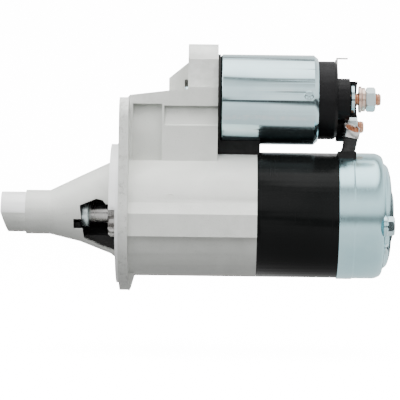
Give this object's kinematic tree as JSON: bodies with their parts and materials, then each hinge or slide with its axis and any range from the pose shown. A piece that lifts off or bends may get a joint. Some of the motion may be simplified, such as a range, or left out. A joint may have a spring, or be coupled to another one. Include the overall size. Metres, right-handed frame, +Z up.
{
  "type": "starter motor",
  "caption": "Gear-reduction engine starter motor: cast drive end with nose and flange, black yoke, zinc rear cover and solenoid with a copper battery post on top.",
  "frame": {"origin": "on the drive shaft's axis at the flange's mounting face, where the pilot spigot meets the engine", "axes": "+X along the shaft from the nose towards the rear cover, +Z up from the shaft towards the solenoid"},
  "size_m": [0.2385, 0.1075, 0.1503],
  "materials": {
    "cast": "satin",
    "zinc": "gloss",
    "yoke_paint": "gloss",
    "black_moulding": "satin",
    "bronze": "satin",
    "steel": "satin",
    "laminations": "satin",
    "copper": "satin",
    "tinned": "gloss",
    "rubber": "matte",
    "sleeve": "matte",
    "carbon": "matte",
    "ferrite": "matte",
    "moulding": "satin"
  },
  "bodies": {
    "root": {"drive_housing": "cast", "solenoid_can": "zinc", "rear_cover": "zinc", "solenoid_screws": "zinc", "cover_screws": "zinc", "through_bolts": "zinc", "terminal_nuts": "zinc", "post_washers": "zinc", "spring_washer": "zinc", "yoke_tube": "yoke_paint", "solenoid_cap": "black_moulding", "shaft_bushes": "bronze", "ring_gear": "steel", "centre_bracket": "steel", "bearing_plate": "steel", "bearing_outer_races": "steel", "bearing_balls": "steel", "lever_pivot_pin": "steel", "return_spring": "steel", "contact_spring": "steel", "fixed_core": "steel", "brush_springs": "steel", "solenoid_coil": "copper", "terminal_studs": "copper", "lead_strands": "copper", "brush_boxes": "copper", "lead_lug": "tinned", "signal_terminal": "tinned", "lever_packing": "rubber", "lead_grommet": "rubber", "solenoid_gasket": "rubber", "field_lead": "sleeve", "magnets": "ferrite", "coil_bobbin": "moulding", "brush_plate": "moulding"},
    "armature": {"armature_shaft": "steel", "armature_core": "laminations", "armature_winding": "copper", "commutator": "copper", "bearing_inner_races": "steel"},
    "drive_shaft": {"drive_shaft": "steel", "planet_pins": "steel", "stop_collar": "zinc", "snap_ring": "steel"},
    "planet_1": {"planet_gear_1": "steel"},
    "planet_2": {"planet_gear_2": "steel"},
    "planet_3": {"planet_gear_3": "steel"},
    "clutch": {"clutch_shell": "steel", "clutch_rollers": "steel", "shift_collar": "moulding"},
    "pinion": {"pinion_gear": "steel"},
    "lever": {"shift_lever": "moulding"},
    "plunger": {"plunger": "steel", "plunger_hook": "steel"},
    "contact": {"contact_rod": "steel", "contact_disc": "copper"},
    "brush_1": {"brush_1": "carbon"},
    "brush_2": {"brush_2": "carbon"},
    "brush_3": {"brush_3": "carbon"},
    "brush_4": {"brush_4": "carbon"}
  },
  "joints": [
    {"name": "armature_spin", "type": "hinge", "parent": "root", "child": "armature", "pos_m": [0, 0, 0], "axis": [1, 0, 0], "continuous": true},
    {"name": "drive_shaft_spin", "type": "hinge", "parent": "root", "child": "drive_shaft", "pos_m": [0, 0, 0], "axis": [1, 0, 0], "continuous": true},
    {"name": "planet_1_spin", "type": "hinge", "parent": "drive_shaft", "child": "planet_1", "pos_m": [0.0715, 0, 0.01553], "axis": [1, 0, 0], "continuous": true},
    {"name": "planet_2_spin", "type": "hinge", "parent": "drive_shaft", "child": "planet_2", "pos_m": [0.0715, -0.01345, -0.00776], "axis": [1, 0, 0], "continuous": true},
    {"name": "planet_3_spin", "type": "hinge", "parent": "drive_shaft", "child": "planet_3", "pos_m": [0.0715, 0.01345, -0.00776], "axis": [1, 0, 0], "continuous": true},
    {"name": "clutch_slide", "type": "slide", "parent": "drive_shaft", "child": "clutch", "axis": [-1, 0, 0], "range_m": [0, 0.0111]},
    {"name": "pinion_overrun", "type": "hinge", "parent": "clutch", "child": "pinion", "pos_m": [0, 0, 0], "axis": [1, 0, 0], "continuous": true},
    {"name": "lever_swing", "type": "hinge", "parent": "root", "child": "lever", "pos_m": [0.047, 0, 0.036], "axis": [0, 1, 0], "range_deg": [0, 17.77]},
    {"name": "plunger_slide", "type": "slide", "parent": "root", "child": "plunger", "axis": [1, 0, 0], "range_m": [0, 0.0096], "stiffness_N_per_m": 1200, "springref_m": -0.012, "deforming": ["return_spring"]},
    {"name": "contact_slide", "type": "slide", "parent": "root", "child": "contact", "axis": [1, 0, 0], "range_m": [0, 0.00193], "deforming": ["contact_spring"]},
    {"name": "brush_1_slide", "type": "slide", "parent": "root", "child": "brush_1", "axis": [0, 0.6157, 0.788], "range_m": [0, 0.003], "stiffness_N_per_m": 1500, "springref_m": -0.004, "deforming": ["brush_springs"]},
    {"name": "brush_2_slide", "type": "slide", "parent": "root", "child": "brush_2", "axis": [0, -0.788, 0.6157], "range_m": [0, 0.003], "stiffness_N_per_m": 1500, "springref_m": -0.004, "deforming": ["brush_springs"]},
    {"name": "brush_3_slide", "type": "slide", "parent": "root", "child": "brush_3", "axis": [0, -0.6157, -0.788], "range_m": [0, 0.003], "stiffness_N_per_m": 1500, "springref_m": -0.004, "deforming": ["brush_springs"]},
    {"name": "brush_4_slide", "type": "slide", "parent": "root", "child": "brush_4", "axis": [0, 0.788, -0.6157], "range_m": [0, 0.003], "stiffness_N_per_m": 1500, "springref_m": -0.004, "deforming": ["brush_springs"]}
  ],
  "couplings": [
    {"joint": "drive_shaft_spin", "follows": "armature_spin", "ratio": 0.22222},
    {"joint": "planet_1_spin", "follows": "armature_spin", "ratio": -0.62222},
    {"joint": "planet_2_spin", "follows": "armature_spin", "ratio": -0.62222},
    {"joint": "planet_3_spin", "follows": "armature_spin", "ratio": -0.62222},
    {"joint": "clutch_slide", "follows": "plunger_slide", "ratio": 1.1562},
    {"joint": "lever_swing", "follows": "plunger_slide", "rad_per_m": 32.292},
    {"joint": "contact_slide", "follows": "plunger_slide", "ratio": 0.2}
  ]
}
